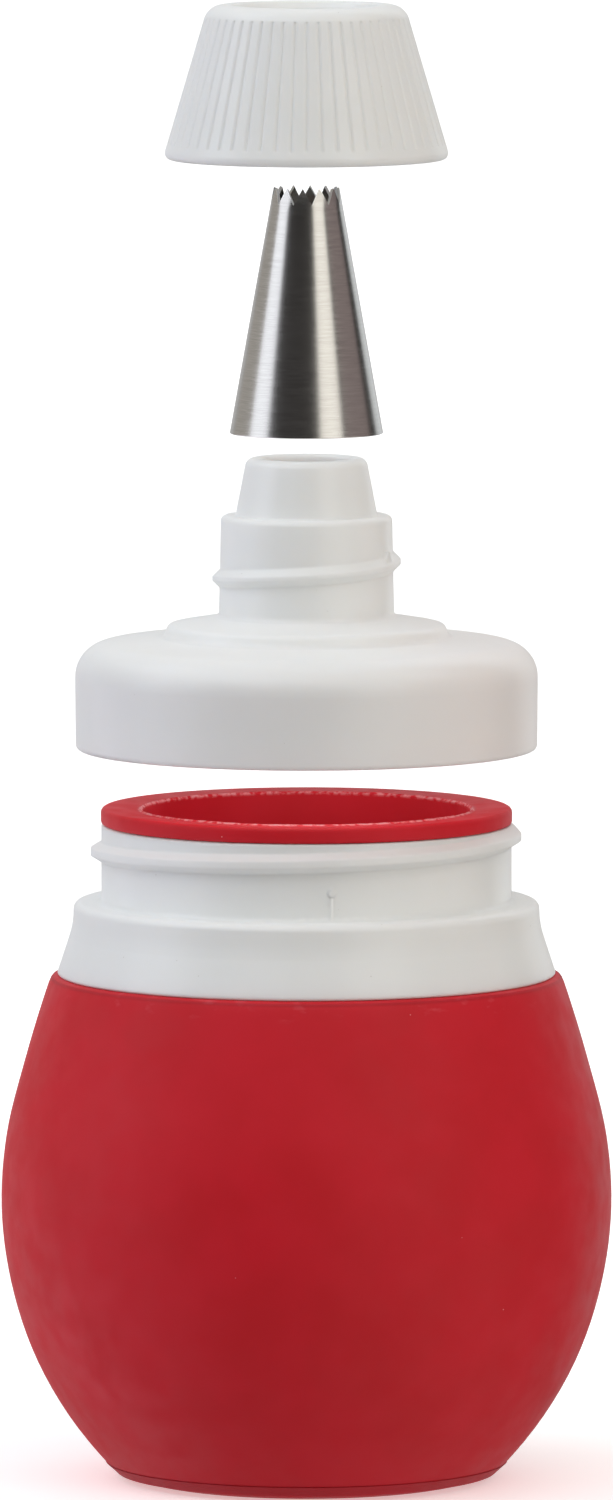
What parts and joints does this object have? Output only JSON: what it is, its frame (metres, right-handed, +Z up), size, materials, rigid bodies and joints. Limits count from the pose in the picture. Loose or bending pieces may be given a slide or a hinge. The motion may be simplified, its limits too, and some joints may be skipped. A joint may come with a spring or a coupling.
{
  "type": "squeeze-bulb cookie press",
  "caption": "Hand-squeezed dough and icing press: silicone bulb, threaded collar, screw-on nozzle lid, open star tip and ribbed retaining nut, shown parted along one axis.",
  "frame": {"origin": "centre of the bulb's flat base, on the surface that it stands on", "axes": "+Z up along the common axis of all five pieces, +X to the right seen from the front, which is the -Y side"},
  "size_m": [0.0746, 0.0746, 0.1804],
  "materials": {
    "silicone": "soft matte silicone",
    "collar_plastic": "satin moulded polypropylene",
    "lid_plastic": "satin moulded polypropylene",
    "tip_steel": "spun stainless steel, brushed around",
    "nut_plastic": "satin moulded polypropylene, fluted"
  },
  "bodies": {
    "bulb": {"squeeze_bulb": "silicone"},
    "collar": {"threaded_collar": "collar_plastic"},
    "lid": {"nozzle_lid": "lid_plastic"},
    "tip": {"star_tip": "tip_steel"},
    "nut": {"retaining_nut": "nut_plastic"}
  },
  "joints": [
    {"name": "collar_turn", "type": "hinge", "parent": "bulb", "child": "collar", "pos_m": [0, 0, 0.07], "axis": [0, 0, 1], "range_deg": [0, 1542.86]},
    {"name": "lid_close", "type": "slide", "parent": "bulb", "child": "lid", "axis": [0, 0, -1], "range_m": [0, 0.018]},
    {"name": "tip_close", "type": "slide", "parent": "lid", "child": "tip", "axis": [0, 0, -1], "range_m": [0, 0.00995]},
    {"name": "nut_close", "type": "slide", "parent": "tip", "child": "nut", "axis": [0, 0, -1], "range_m": [0, 0.0455]}
  ],
  "couplings": [
    {"joint": "lid_close", "follows": "collar_turn", "m_per_rad": 0.00066845}
  ]
}
